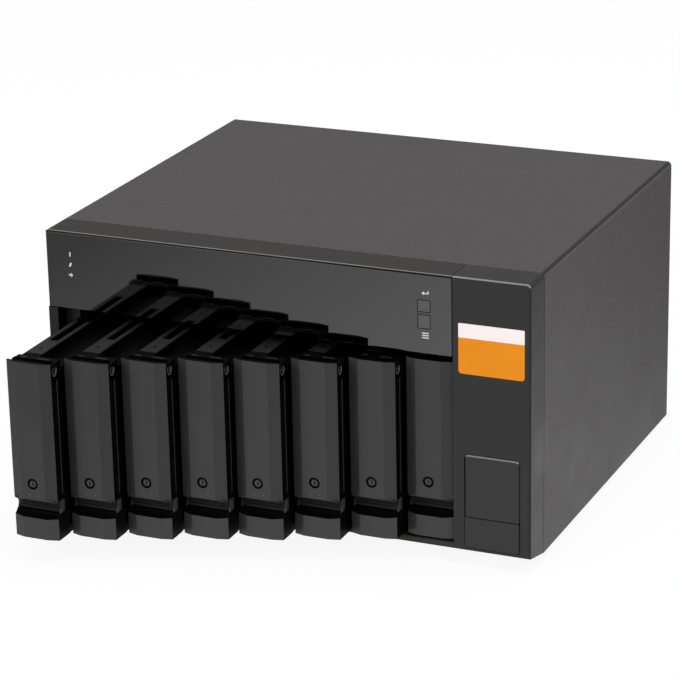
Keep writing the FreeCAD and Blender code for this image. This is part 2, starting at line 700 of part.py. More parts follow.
def backplane():
    """Board behind the trays with air slots, and one drive socket for each tray."""
    board = block(("cage_left", "cage_right + 2"), ("cage_end", "cage_end + 1.6"),
                  ("foot_height + steel + 2", "cage_roof"))
    slots = [block((f"tray_left + {n - 1}*tray_pitch + 14", f"tray_left + {n - 1}*tray_pitch + 29"),
                   ("cage_end", "cage_end + 1.6"), ("22", "124")) for n in TRAYS]
    piece("backplane_board", cut(board, *slots))
    sockets = []
    for n in TRAYS:
        left = f"tray_left + {n - 1}*tray_pitch"
        shell = block((f"{left} + 5", f"{left} + 11"), ("cage_end - socket_deep", "cage_end"),
                      ("socket_low", "socket_high"))
        groove = block((f"{left} + 6.6", f"{left} + 9.4"), ("cage_end - socket_deep", "cage_end - 4"),
                       ("socket_low + 2", "socket_high - 2"))
        sockets.append(cut(shell, groove))
    piece("sata_sockets", group(*sockets))


def fan_frame(label, x):
    """Square fan frame with a round duct, struts and a bearing for the rotor's shaft."""
    body = new_body(label, x=x, y="front_y + rear_y - fan_deep", z="fan_z")
    half = "fan_size/2"
    add(body, "Y", "0", "fan_deep", rect(f"-{half}", half, f"-{half}", half))
    edge = SIZES["fan_size"] / 2
    dress("Chamfer", body, "4",
          lambda box: at(box.XMin, box.XMax, -edge, edge) and at(box.ZMin, box.ZMax, -edge, edge))
    corners = [(f"{side}*fan_holes/2", f"{end}*fan_holes/2") for side in (-1, 1) for end in (-1, 1)]
    carve(body, "Y", "0", "fan_deep", disc("0", "0", "fan_bore"),
          *[rect(f"{x} - 2", f"{x} + 2", f"{z} - 2", f"{z} + 2") for x, z in corners])
    rear = ("fan_deep - 3", "fan_deep")
    add(body, "Y", *rear, rect("-fan_bore - 0.8", "fan_bore + 0.8", "-1.5", "1.5"))
    add(body, "Y", *rear, rect("-1.5", "1.5", "-fan_bore - 0.8", "fan_bore + 0.8"))
    add(body, "Y", *rear, ring("0", "0", "fan_hub", HUB_SIDES))
    carve(body, "Y", *rear, ring("0", "0", "shaft_seat", PIN_SIDES))


def rotor(label, hub, deep, tip, blades, reach, place):
    """Fan rotor: hub, shaft and cambered blades about the Y axis."""
    body = new_body(label, **place)
    add(body, "Y", "1", deep, ring("0", "0", hub, HUB_SIDES))
    add(body, "Y", deep, f"{deep} + 3", ring("0", "0", "shaft", PIN_SIDES))
    near, far = f"1.5 + {deep}*0.1", f"{deep} - 0.5 - {deep}*0.1"
    camber = f"({near} + {far})/2 + {deep}*0.12"
    blade = add(body, "X", f"{hub}*0.85", tip,
                poly((near, f"-{reach}"), (f"{near} + 1.6", f"-{reach}"), (f"{camber} + 0.8", "0"),
                     (far, reach), (f"{far} - 1.6", reach), (f"{camber} - 0.8", "0")))
    wheel = body.newObject("PartDesign::PolarPattern", "wheel")
    wheel.Originals = [blade]
    wheel.Axis = (next(item for item in body.Origin.OriginFeatures if item.Role == "Y_Axis"), [""])
    wheel.Angle = 360
    wheel.Occurrences = blades
    body.Tip = wheel
    doc.recompute()


def fans():
    for side, x in (("left", "fan_left_x"), ("right", "fan_right_x")):
        fan_frame(f"fan_{side}_frame", x)
        rotor(f"fan_{side}_rotor", "fan_hub", "21", "fan_tip", 7, "12",
              {"x": x, "y": "front_y + rear_y - fan_deep", "z": "fan_z"})


def power_supply():
    """Slim supply behind the column: case, mains inlet and its own small fan."""
    middle = "psu_left + psu_width/2"

    def about(half_width, y, half_height):
        return block((f"{middle} - {half_width}", f"{middle} + {half_width}"), y,
                     (f"inlet_z - {half_height}", f"inlet_z + {half_height}"))

    case = cut(block(("psu_left", "psu_left + psu_width"), ("rear_y - psu_length", "rear_y"),
                     ("psu_low", "psu_low + psu_height")),
               rod(middle, "rear_y - psu_duct_deep", "psu_fan_z", "psu_duct", "psu_duct_deep"),
               about(13.6, ("rear_y - psu_duct_deep", "rear_y"), 10))
    guard = [block((f"{middle} - psu_duct - 0.5", f"{middle} + psu_duct + 0.5"), ("rear_y - 1.5", "rear_y"),
                   (f"psu_fan_z + {level} - 0.8", f"psu_fan_z + {level} + 0.8")) for level in (-9, 0, 9)]
    piece("psu_case", fuse(case, *guard))
    rotor("psu_fan_rotor", "7", "10", "psu_duct - 2", 5, "5",
          {"x": middle, "y": "front_y + rear_y - 15.5", "z": "psu_fan_z"})
    shell = fuse(about(13.4, ("rear_y - 15", "rear_y"), 9.8), about(15.2, ("rear_y", "rear_y + 1.4"), 11.5))
    pins = [block((f"{middle} + {x} - 1", f"{middle} + {x} + 1"), ("rear_y - 14", "rear_y - 3"),
                  (f"inlet_z + {z} - 2", f"inlet_z + {z} + 2")) for x, z in ((-7, -1.5), (0, 1.5), (7, -1.5))]
    piece("psu_inlet", fuse(cut(shell, about(12.1, ("rear_y - 13.6", "rear_y + 1.4"), 8.3)), *pins))


def rear_ports():
    """Two data ports on a board that stands on the rear panel's shelf."""
    board = block(("port_left_x - port_half - 4", "port_right_x + port_half + 4"),
                  ("rear_y - 50", "rear_y - 0.5"), ("port_board_low", "port_board_low + 1.6"))
    piece("port_board", group(board))
    ports = []
    for x in ("port_left_x", "port_right_x"):
        shell = block((f"{x} - port_half", f"{x} + port_half"), ("rear_y - port_deep", "rear_y + steel + 1"),
                      ("port_board_low + 1.6", "port_z + port_tall"))
        mouth = block((f"{x} - port_half + 1", f"{x} + port_half - 1"),
                      ("rear_y - port_deep + 8", "rear_y + steel + 1"),
                      ("port_z - port_tall + 1", "port_z + port_tall - 1"))
        tongue = block((f"{x} - port_half + 3.5", f"{x} + port_half - 3.5"),
                       ("rear_y - port_deep + 7.5", "rear_y - 12"), ("port_z - 0.6", "port_z + 0.6"))
        ports.append(fuse(cut(shell, mouth), tongue))
    piece("data_ports", group(*ports))


def build():
    outer_cover()
    base_chassis()
    rear_panel()
    rubber_feet()
    rear_screws()
    front_bezel()
    column_fascia()
    display_panel()
    panel_key("enter_button", "enter_low", "enter_high")
    panel_key("select_button", "select_low", "select_high")
    power_button()
    badge_plate()
    light_pipe()
    front_boards()
    for number in TRAYS:
        tray_carrier(number)
        tray_strips(number)
        tray_handle(number)
        tray_lock(number)
    drive_cage()
    backplane()
    fans()
    power_supply()
    rear_ports()
    doc.recompute()


def export():
    """Writes each sub-part to its own file once all of them are sound."""
    faults = [item.Label for item in doc.Objects if "Invalid" in item.State or "Error" in item.State]
    faults += [item.Label for item in PIECES if item.Shape.isNull() or not item.Shape.isValid()]
    if faults:
        raise RuntimeError("failed: " + ", ".join(faults))
    os.makedirs("parts", exist_ok=True)
    for item in PIECES:
        item.Shape.exportStep(f"parts/{item.Label}.step")
        print(item.Label, len(item.Shape.Solids), round(item.Shape.Volume))


build()
export()
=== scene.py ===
"""Looks of the disk shelf enclosure: its finishes, small trim, floor, lamps and camera.

Metres, in the model's frame: +X to the right seen from the front, +Y to the back, +Z up.
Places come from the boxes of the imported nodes. The outlines and profiles kept as lists are in millimetres.
"""
import json
import math

import bmesh
import bpy
from mathutils import Matrix, Vector


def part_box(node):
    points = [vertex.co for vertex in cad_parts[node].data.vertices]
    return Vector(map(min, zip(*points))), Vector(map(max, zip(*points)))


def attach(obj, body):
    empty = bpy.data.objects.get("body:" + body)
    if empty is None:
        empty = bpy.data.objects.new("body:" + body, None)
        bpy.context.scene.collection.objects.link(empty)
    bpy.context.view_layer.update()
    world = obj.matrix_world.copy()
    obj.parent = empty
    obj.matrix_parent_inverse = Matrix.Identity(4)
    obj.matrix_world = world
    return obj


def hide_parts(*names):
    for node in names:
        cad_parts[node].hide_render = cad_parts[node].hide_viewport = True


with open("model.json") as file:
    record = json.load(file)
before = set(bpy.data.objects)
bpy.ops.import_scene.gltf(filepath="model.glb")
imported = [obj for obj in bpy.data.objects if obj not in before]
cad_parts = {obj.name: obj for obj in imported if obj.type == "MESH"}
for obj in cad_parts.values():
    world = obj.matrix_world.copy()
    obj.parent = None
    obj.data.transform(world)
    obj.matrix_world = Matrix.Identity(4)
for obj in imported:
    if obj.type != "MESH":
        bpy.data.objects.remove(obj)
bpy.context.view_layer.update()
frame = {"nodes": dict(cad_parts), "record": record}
MM = 0.001
TRAYS = range(1, 9)
SKIN = 0.02 * MM          # how far a printed mark stands on its surface
HAIR = 0.004 * MM         # how far a seam line or an edge band stands out
SUNK = 0.1 * MM           # how far it reaches into its surface
SMOOTH_NODE = 32          # degrees between faces up to which they are shaded as one
SMOOTH_PIECE = 35


# ---- finishes ----

NOISE_LOW, NOISE_HIGH = 0.3, 0.7      # nearly all of a noise lies between these
ROUGH_CHANGE = 0.04                   # how far a finish's roughness varies either way
ROUGH_LEAST = 0.01                    # and the least that it gets to
EDGE_SAMPLES = 4                      # of the node that softens edges


def noise(nodes, links, place, size):
    """Noise whose features are about size metres across."""
    node = nodes.new("ShaderNodeTexNoise")
    node.inputs["Scale"].default_value = 1 / size
    links.new(place.outputs["Object"], node.inputs["Vector"])
    return node.outputs["Fac"]


def spread(nodes, links, fac, low, high):
    """Maps a noise to low..high."""
    node = nodes.new("ShaderNodeMapRange")
    node.inputs["From Min"].default_value = NOISE_LOW
    node.inputs["From Max"].default_value = NOISE_HIGH
    node.inputs["To Min"].default_value = low
    node.inputs["To Max"].default_value = high
    links.new(fac, node.inputs["Value"])
    return node.outputs["Result"]


def mottled(nodes, links, fine, broad, colour, mottle, cloud):
    """The colour, made darker and lighter by a mix of the fine and the broad noise."""
    both = nodes.new("ShaderNodeMix")
    both.inputs["Factor"].default_value = cloud
    links.new(fine, both.inputs["A"])
    links.new(broad, both.inputs["B"])
    tones = nodes.new("ShaderNodeMix")
    tones.data_type = "RGBA"
    ends = [socket for socket in tones.inputs if socket.type == "RGBA"]
    for socket, change in zip(ends, (-mottle, mottle)):
        socket.default_value = (*[part * (1 + change) for part in colour], 1)
    links.new(spread(nodes, links, both.outputs["Result"], 0, 1), tones.inputs["Factor"])
    return [socket for socket in tones.outputs if socket.type == "RGBA"][0]


def textured(nodes, links, fine, relief, edge):
    """The surface's normal: fine relief over edges softened to a radius."""
    soft = nodes.new("ShaderNodeBevel")
    soft.samples = EDGE_SAMPLES
    soft.inputs["Radius"].default_value = edge * MM
    bump = nodes.new("ShaderNodeBump")
    bump.inputs["Distance"].default_value = relief * MM
    links.new(fine, bump.inputs["Height"])
    links.new(soft.outputs["Normal"], bump.inputs["Normal"])
    return bump.outputs["Normal"]


def finish(name, colour, rough, grain=0.8, relief=0.02, mottle=0.08, cloud=0.35, patch=25.0, edge=0.3,
           metallic=0.0, **sockets):
    """A Principled finish: grain in its relief and colour, broad mottling and softened edges.

    grain, relief, patch and edge are millimetres: the grain's size and height, the size of the broad
    mottling, and the radius of edges. mottle is how far the colour varies either way, and cloud the
    broad mottling's share in that. sockets are other inputs of the shader, with _ for a space."""
    made = bpy.data.materials.new(name)
    made.use_nodes = True
    nodes, links = made.node_tree.nodes, made.node_tree.links
    shader = nodes["Principled BSDF"]
    shader.inputs["Metallic"].default_value = metallic
    for socket, value in sockets.items():
        shader.inputs[socket.replace("_", " ")].default_value = value
    place = nodes.new("ShaderNodeTexCoord")
    fine = noise(nodes, links, place, grain * MM)
    broad = noise(nodes, links, place, patch * MM)
    links.new(mottled(nodes, links, fine, broad, colour, mottle, cloud), shader.inputs["Base Color"])
    dull = spread(nodes, links, broad, max(rough - ROUGH_CHANGE, ROUGH_LEAST), rough + ROUGH_CHANGE)
    links.new(dull, shader.inputs["Roughness"])
    links.new(textured(nodes, links, fine, relief, edge), shader.inputs["Normal"])
    return made


LOOKS = {
    "case_paint": dict(colour=(0.067, 0.063, 0.064), rough=0.55, grain=1.2, relief=0.06, mottle=0.3,
                       cloud=0.06, Specular_IOR_Level=0.2),
    "rear_paint": dict(colour=(0.012, 0.012, 0.0125), rough=0.5, grain=0.9, relief=0.04, mottle=0.12,
                       Specular_IOR_Level=0.2),
    "psu_steel": dict(colour=(0.2, 0.205, 0.21), rough=0.38, grain=2.0, relief=0.004, mottle=0.1, patch=9,
                      metallic=1.0),
    "bezel_plastic": dict(colour=(0.034, 0.032, 0.029), rough=0.55, relief=0.03, mottle=0.12,
                          Specular_IOR_Level=0.15),
    "column_plastic": dict(colour=(0.02, 0.02, 0.02), rough=0.45, Specular_IOR_Level=0.25),
    "panel_gloss": dict(colour=(0.0005, 0.0005, 0.0006), rough=0.015, grain=60, relief=0.001, mottle=0.05,
                        IOR=1.75),
    "key_gloss": dict(colour=(0.068, 0.067, 0.069), rough=0.3, relief=0.01, mottle=0.06),
    "power_plastic": dict(colour=(0.026, 0.026, 0.026), rough=0.45, edge=0.5, Specular_IOR_Level=0.25),
    "clear_plastic": dict(colour=(0.8, 0.82, 0.85), rough=0.2, grain=2, relief=0.01, mottle=0.04),
    "handle_plastic": dict(colour=(0.033, 0.033, 0.0345), rough=0.42, Specular_IOR_Level=0.3),
    "carrier_plastic": dict(colour=(0.036, 0.036, 0.037), rough=0.42, Specular_IOR_Level=0.3),
    "strip_plastic": dict(colour=(0.012, 0.012, 0.012), rough=0.55, grain=0.9, relief=0.03, mottle=0.1,
                          Specular_IOR_Level=0.15),
    "lock_metal": dict(colour=(0.035, 0.035, 0.037), rough=0.4, grain=0.6, relief=0.01),
    "guide_plastic": dict(colour=(0.002, 0.002, 0.002), rough=0.5, grain=0.9),
    "circuit_board": dict(colour=(0.01, 0.07, 0.03), rough=0.4, grain=1.6, mottle=0.2),
    "socket_plastic": dict(colour=(0.008, 0.008, 0.008), rough=0.4, grain=0.7),
    "fan_plastic": dict(colour=(0.012, 0.012, 0.012), rough=0.45, grain=0.9),
    "rotor_plastic": dict(colour=(0.016, 0.016, 0.016), rough=0.4, grain=0.9),
    "port_metal": dict(colour=(0.62, 0.62, 0.6), rough=0.28, grain=1.5, relief=0.003, mottle=0.06, patch=6,
                       metallic=1.0),
    "black_screws": dict(colour=(0.02, 0.02, 0.02), rough=0.35, grain=0.5, mottle=0.1),
    "foot_rubber": dict(colour=(0.012, 0.012, 0.012), rough=0.75, relief=0.04, mottle=0.15),
}
FINISHES = {slot: finish(slot, **look) for slot, look in LOOKS.items()}

# Painted shade and painted highlight for the cover's bends: a darker and a paler copy of the case paint.
BEND_SHADE = finish("bend_painted_shade", (0.024, 0.0225, 0.023), 0.5, grain=1.2, relief=0.04, mottle=0.2, cloud=0.06,
              Specular_IOR_Level=0.2)
RIDGE_HIGHLIGHT = finish("ridge_painted_highlight", (0.084, 0.08, 0.081), 0.5, grain=1.2, relief=0.04, mottle=0.2, cloud=0.06,
               Specular_IOR_Level=0.2)
# Painted shade: a darker copy of the handle plastic for the right slanted band of each lever's plate.
FLANK_SHADE = finish("plate_flank_painted_shade", (0.0215, 0.0215, 0.0225), 0.42, Specular_IOR_Level=0.3)
PRINT = finish("print_white", (0.7, 0.7, 0.69), 0.5, grain=0.5, relief=0.005, mottle=0.05)
PAPER = finish("label_paper", (0.95, 0.86, 0.85), 0.5, grain=0.6, relief=0.01, mottle=0.03)
ORANGE = finish("label_orange", (0.8, 0.265, 0.007), 0.55, grain=0.6, relief=0.01, mottle=0.05,
                Specular_IOR_Level=0.15)
GLOSS = finish("hinge_gloss", (0.004, 0.004, 0.004), 0.1, grain=3.0, relief=0.04, mottle=0.1, IOR=1.8)
# Painted highlight: a pale finish that stands in for light caught on edges and on the hinge.
HIGHLIGHT_PAINT = finish("painted_highlight", (0.21, 0.205, 0.2), 0.4, relief=0.01)
# The strip's own tone for its lit front, drawn as a sheet over a strip that is painted shade.
STRIP_LIT_TONE = finish("strip_lit_front", (0.0115, 0.0115, 0.0115), 0.5, relief=0.03, mottle=0.12, Specular_IOR_Level=0.25)
# Near-black that paints shade inside and between parts, over parts that are partly black themselves.
SHADE = finish("black_and_painted_shade", (0.0015, 0.0015, 0.0015), 0.5, grain=1.2, mottle=0.1, Specular_IOR_Level=0.03)
# Dark grey for the grips and clips, and as painted shade on the bezel's post and the column's right edge.
GRIP_AND_SHADE = finish("grip_plastic_and_painted_shade", (0.014, 0.014, 0.0145), 0.45, Specular_IOR_Level=0.2)
# Near-black for joints, and as painted shade in holes and recesses: the locks, keyways, the strip's hole and
# the screws' crosses.
DARK_JOINT_AND_SHADE = finish("dark_joint_and_painted_shade", (0.002, 0.002, 0.002), 0.6, grain=0.6, mottle=0.05, Specular_IOR_Level=0.1)
LAMP = finish("status_lamp", (0.075, 0.075, 0.075), 0.3, grain=0.5, mottle=0.05)


# ---- ways to build ----

CORNER_STEPS = 6          # straight sides in a rounded corner


def piece(name, body, material, build, smooth=False, replaces=()):
    """A mesh piece that build(bmesh) draws, riding on a body."""
    mesh = bpy.data.meshes.new(name)
    form = bmesh.new()
    build(form)
    bmesh.ops.recalc_face_normals(form, faces=form.faces)
    form.to_mesh(mesh)
    form.free()
    thing = bpy.data.objects.new(name, mesh)
    bpy.context.scene.collection.objects.link(thing)
    mesh.materials.append(material)
    if smooth:
        mesh.polygons.foreach_set("use_smooth", [True] * len(mesh.polygons))
        mesh.set_sharp_from_angle(angle=math.radians(SMOOTH_PIECE))
    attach(thing, body)
    if replaces:
        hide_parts(*replaces)


def extrude(form, near, far):
    """Draws the solid between an outline and the same outline farther on."""
    first = [form.verts.new(point) for point in near]
    last = [form.verts.new(point) for point in far]
    form.faces.new(first)
    form.faces.new(last[::-1])
    for k in range(len(first)):
        n = (k + 1) % len(first)
        form.faces.new((first[k], last[k], last[n], first[n]))


def prism(form, corners, y, depth):
    """Draws a flat outline in X and Z, carried back from y by depth."""
    extrude(form, [(x, y, z) for x, z in corners], [(x, y + depth, z) for x, z in corners])


def side_prism(form, corners, x, depth):
    """Draws a flat outline in Y and Z, carried right from x by depth."""
    extrude(form, [(x, y, z) for y, z in corners], [(x + depth, y, z) for y, z in corners])


def flat(form, corners, z, depth):
    """Draws a flat outline in X and Y, carried up from z by depth."""
    extrude(form, [(x, y, z) for x, y in corners], [(x, y, z + depth) for x, y in corners])


def bar(form, low, high):
    """Draws a block between two corners."""
    x0, y0, z0 = low
    x1, y1, z1 = high
    prism(form, [(x0, z0), (x1, z0), (x1, z1), (x0, z1)], y0, y1 - y0)


def turned(form, profile, centre, sides, axis="Y"):
    """Draws a turned form. Its profile is (radius, place along the axis) in millimetres, end to end."""
    rings = []
    for radius, along in profile:
        ring = []
        for k in range(sides):
            turn = math.tau * k / sides
            across, up = radius * MM * math.cos(turn), radius * MM * math.sin(turn)
            spot = (across, along * MM, up) if axis == "Y" else (along * MM, across, up)
            ring.append(form.verts.new(Vector(centre) + Vector(spot)))
        rings.append(ring)
    for first, second in zip(rings, rings[1:]):
        for k in range(sides):
            n = (k + 1) % sides
            form.faces.new((first[k], first[n], second[n], second[k]))
    form.faces.new(rings[0])
    form.faces.new(rings[-1][::-1])


def placed(outline, across, up):
    """An outline in millimetres, moved to a place in metres."""
    return [(across + a * MM, up + b * MM) for a, b in outline]


def arc(radius, start, end, steps):
    """Points of an arc about (0, 0) from one angle to another, in degrees."""
    turns = [math.radians(start + (end - start) * k / steps) for k in range(steps + 1)]
    return [(radius * math.cos(turn), radius * math.sin(turn)) for turn in turns]


def rounded(left, right, low, high, radius, which=("low", "high")):
    """Corners of a rectangle whose low or high corners, or both, are rounded."""
    corners = []
    for x, z, start, end in ((left, low, 180, "low"), (right, low, 270, "low"),
                             (right, high, 0, "high"), (left, high, 90, "high")):
        if end in which:
            middle_x = x + (radius if x == left else -radius)
            middle_z = z + (radius if z == low else -radius)
            bend = arc(radius, start, start + 90, CORNER_STEPS)
            corners += [(middle_x + a, middle_z + b) for a, b in bend]
        else:
            corners.append((x, z))
    return corners


# ---- finishes, painted shade and painted highlights on the nodes that stay ----

def dress_nodes():
    """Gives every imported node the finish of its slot."""
    slots = {row["node"]: row["material_slot"] for row in frame["record"]["subparts"]}
    for node, thing in frame["nodes"].items():
        mesh = thing.data
        mesh.materials.clear()
        mesh.materials.append(FINISHES[slots[node]])
        mesh.polygons.foreach_set("use_smooth", [True] * len(mesh.polygons))
        mesh.set_sharp_from_angle(angle=math.radians(SMOOTH_NODE))


def shade(node, material, chosen):
    """Gives another finish to the faces that chosen accepts.

    It gets the middle of a face and its normal, whose parts run from -1 to 1."""
    thing = frame["nodes"][node]
    mesh = thing.data
    mesh.materials.append(material)
    turn = thing.matrix_world.to_3x3()
    for face in mesh.polygons:
        if chosen(thing.matrix_world @ face.center, turn @ face.normal):
            face.material_index = len(mesh.materials) - 1


def shade_tray(number):
    """A tray is near-black, mostly from painted shade, but for the lever's front and the front and underside
    of the toe.
    """
    handle, carrier = f"tray_{number}_handle", f"tray_{number}_carrier"
    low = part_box(handle)[0]
    plate_low = low.z + 8.3 * MM
    toe_top = low.z - 0.5 * MM
    toe_back = low.y + 17 * MM
    # Painted shade on the lever's sides, top and back; the sides are partly black parts in their own right.
    shade(handle, SHADE, lambda spot, way: abs(way.x) > 0.8 or way.z > 0.7 or way.y > 0.5)
    # The lever's grip, darker below the plate.
    shade(handle, GRIP_AND_SHADE, lambda spot, way: spot.z < plate_low and way.y < 0.5 and abs(way.z) < 0.8)
    # Painted shade on the plate's right slanted band.
    shade(handle, FLANK_SHADE, lambda spot, way: spot.z > plate_low and way.y < -0.5 and way.x > 0.1)
    # Painted shade on the carrier's upward and sideways faces and behind the toe.
    shade(carrier, SHADE, lambda spot, way: way.z > 0.1 or abs(way.x) > 0.8
          or spot.z > toe_top or spot.y > toe_back)
    # Painted shade over the whole strip; its lit front is a separate sheet.
    shade(f"tray_{number}_strips", SHADE, lambda spot, way: True)
    # Painted shade: the lock is as dark as the shadow in its recess.
    shade(f"tray_{number}_lock", DARK_JOINT_AND_SHADE, lambda spot, way: True)


def shade_bezel():
    """The bezel gets painted shade inside its mouth, and its post left of the trays gets painted shade in
    front.
    """
    low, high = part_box("front_bezel")
    rim, skin, sill = 2 * MM, 0.1 * MM, 9 * MM
    post_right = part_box("drive_cage")[0].x
    post_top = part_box("display_panel")[0].z
    shade("front_bezel", SHADE, lambda spot, way: spot.x > low.x + rim and spot.y > low.y + skin
          and low.z + sill < spot.z < high.z - rim)
    shade("front_bezel", GRIP_AND_SHADE, lambda spot, way: spot.x < post_right and spot.z < post_top and way.y < -0.9)


def shade_case():
    """The cage and the chassis but for its underside are near-black, partly their own black and partly
    painted shade, and slanted front edges get a painted highlight.
    """
    shade("drive_cage", SHADE, lambda spot, way: True)
    shade("base_chassis", SHADE, lambda spot, way: way.z > -0.5)
    for node in ("front_bezel", "column_fascia", "power_button"):
        # Painted highlight on the slanted front edges.
        shade(node, HIGHLIGHT_PAINT, lambda spot, way: way.y < -0.3 and way.z > 0.3)


def shade_cover_bends():
    """The bends of the cover get painted shade where they face mostly up and a painted highlight lower down.
    """
    turn_over = 0.55
    shade("outer_cover", BEND_SHADE, lambda spot, way: abs(way.x) > 0.1 and way.z > turn_over)
    shade("outer_cover", RIDGE_HIGHLIGHT, lambda spot, way: abs(way.x) > 0.1 and 0.1 < way.z <= turn_over)


# ---- gloss panel and column ----

# An upright bar, a leaning bar and an arrow.
LAMP_SIGNS = (
    [(-0.45, -1.5), (0.45, -1.5), (0.45, 1.5), (-0.45, 1.5)],
    [(-1.2, -1.3), (0.2, -1.3), (1.2, 1.3), (-0.2, 1.3)],
    [(-1.5, -0.5), (0, -0.5), (0, -1.5), (1.7, 0), (0, 1.5), (0, 0.5), (-1.5, 0.5)],
)
ENTER_ARROW = [(2.4, 1.6), (2.4, -0.4), (-0.7, -0.4), (-0.7, -1.2), (-2.4, 0), (-0.7, 1.2), (-0.7, 0.3),
               (1.7, 0.3), (1.7, 1.6)]


def lamp_signs():
    """A printed sign on the panel in front of each status lamp."""
    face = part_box("display_panel")[0].y
    low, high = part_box("light_pipe")
    half_lamp = 1.5 * MM
    x = (low.x + high.x) / 2
    top = high.z - half_lamp
    step = (high.z - low.z - 2 * half_lamp) / 2
    for number, sign in enumerate(LAMP_SIGNS, 1):
        corners = placed(sign, x, top - (number - 1) * step)
        piece(f"lamp_sign_{number}", "chassis", PRINT, lambda form: prism(form, corners, face - SKIN, SKIN))


def key_signs():
    """A printed bent arrow over the upper key, and a sign of three lines under the lower."""
    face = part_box("display_panel")[0].y
    enter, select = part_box("enter_button"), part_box("select_button")
    aside, gap = 0.9 * MM, 4.6 * MM
    x = (enter[0].x + enter[1].x) / 2 + aside
    arrow = placed(ENTER_ARROW, x, enter[1].z + gap)
    piece("enter_sign", "chassis", PRINT, lambda form: prism(form, arrow, face - SKIN, SKIN))

    half_long, half_thick, corner, line_step = 2.3 * MM, 0.35 * MM, 0.3 * MM, 1.5 * MM

    def lines(form):
        for step in (-1, 0, 1):
            z = select[0].z - gap + step * line_step
            line = rounded(x - half_long, x + half_long, z - half_thick, z + half_thick, corner)
            prism(form, line, face - SKIN, SKIN)
    piece("list_sign", "chassis", PRINT, lines)


def column_label():
    """Bare two-colour paper label: a pale band over an orange field."""
    low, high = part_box("column_fascia")
    left, right = low.x + 3.7 * MM, high.x - 4.1 * MM
    top, parting, bottom = high.z - 29.3 * MM, high.z - 38.6 * MM, high.z - 61.8 * MM
    thick, band_corner, field_corner = 0.06 * MM, 0.6 * MM, 2.2 * MM
    band = rounded(left, right, parting, top, band_corner, ("high",))
    field = rounded(left, right, bottom, parting, field_corner, ("low",))
    piece("label_band", "chassis", PAPER, lambda form: prism(form, band, low.y - thick, thick))
    piece("label_field", "chassis", ORANGE, lambda form: prism(form, field, low.y - thick, thick))


def seam_lines():
    """Dark joints round the panel and the column."""
    low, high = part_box("column_fascia")
    panel_low, panel_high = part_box("display_panel")
    front, back = low.y - HAIR, low.y + SUNK
    over_panel = 0.5 * MM
    roof_left, roof_right, roof_front = low.x - 0.35 * MM, low.x + 0.15 * MM, low.y + 1 * MM
    side_front, side_back = high.y - 0.3 * MM, high.y + 0.3 * MM
    side_low, side_top = low.z + 1 * MM, high.z - 3 * MM

    def joints(form):
        bar(form, (panel_high.x, front, panel_low.z), (low.x, back, panel_high.z))
        bar(form, (panel_low.x, front, panel_high.z), (panel_high.x, back, panel_high.z + over_panel))
        bar(form, (roof_left, roof_front, high.z - SUNK), (roof_right, high.y, high.z + HAIR))
        bar(form, (high.x - SUNK, side_front, side_low), (high.x + HAIR, side_back, side_top))
    piece("seam_lines", "chassis", DARK_JOINT_AND_SHADE, joints)


def column_edge_shade():
    """Painted shade: a darker band down the right edge of the column's front."""
    low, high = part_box("column_fascia")
    front, back = low.y - HAIR, low.y + SUNK
    left, right, short = high.x - 1.2 * MM, high.x - 0.1 * MM, 2 * MM
    levels = [spot.co.z for spot in frame["nodes"]["column_fascia"].data.vertices if spot.co.y < back]
    piece("column_edge_shade", "chassis", GRIP_AND_SHADE,
          lambda form: bar(form, (left, front, min(levels)), (right, back, max(levels) - short)))


# ---- trays ----

# Each profile is (radius, place along the axis): behind the lever's face, or out from the ear for a cap.
LOCK_PROFILE = [(2.1, 0.34), (2.1, 0.12), (1.9, 0.04), (1.65, 0.04), (1.55, 0.14), (0.2, 0.14)]
KEYWAY = [(-0.35, -1.5), (0.35, -1.5), (0.35, -0.4), (0.9, -0.4), (0.9, 0.4), (0.35, 0.4), (0.35, 1.5),
          (-0.35, 1.5)]
TRAY_LAMP_PROFILE = [(0.55, 0.1), (0.5, -0.002), (0.1, -0.004)]
CAP_PROFILE = [(2.5, -0.1), (2.5, 0.15), (2.1, 0.3), (1.4, 0.3), (1.2, 0.1)]
CAP_BACK, CAP_DROP = 7 * MM, 6 * MM       # middle of a hinge cap: behind the lever's face, under its top


def lock_trim(number):
    """Dished face of the lock with its keyway as a dark sheet of painted shade, and the two lamps under it.
    """
    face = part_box(f"tray_{number}_handle")[0].y
    low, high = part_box(f"tray_{number}_lock")
    cam_reach = 6.9 * MM
    x, z = (low.x + high.x) / 2, low.z + cam_reach
    piece(f"lock_face_{number}", f"tray_{number}_key_lock", FINISHES["lock_metal"],
          lambda form: turned(form, LOCK_PROFILE, (x, face, z), sides=40), smooth=True)
    # Painted shade: the keyway is a dark sheet on the lock's face.
    keyway_front, keyway_deep = face + 0.12 * MM, 0.1 * MM
    piece(f"keyway_{number}", f"tray_{number}_key_lock", DARK_JOINT_AND_SHADE,
          lambda form: prism(form, placed(KEYWAY, x, z), keyway_front, keyway_deep))
    lamps_left, lamps_right, lamps_drop = -2.6 * MM, 3.6 * MM, 7.6 * MM

    def lamps(form):
        for aside in (lamps_left, lamps_right):
            turned(form, TRAY_LAMP_PROFILE, (x + aside, face, z - lamps_drop), sides=12)
    piece(f"tray_lamps_{number}", f"tray_{number}_lever", LAMP, lamps)


def hinge_caps(number):
    """Gloss caps on the tray's two ears, by the lever's pins."""
    handle_low, handle_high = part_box(f"tray_{number}_handle")
    low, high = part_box(f"tray_{number}_carrier")
    y, z, ear = handle_low.y + CAP_BACK, handle_high.z - CAP_DROP, 0.4 * MM

    def caps(form):
        for x, out in ((low.x + ear, -1), (high.x - ear, 1)):
            profile = [(radius, along * out) for radius, along in CAP_PROFILE]
            turned(form, profile, (x, y, z), sides=24, axis="X")
    piece(f"hinge_caps_{number}", f"tray_{number}", GLOSS, caps, smooth=True)


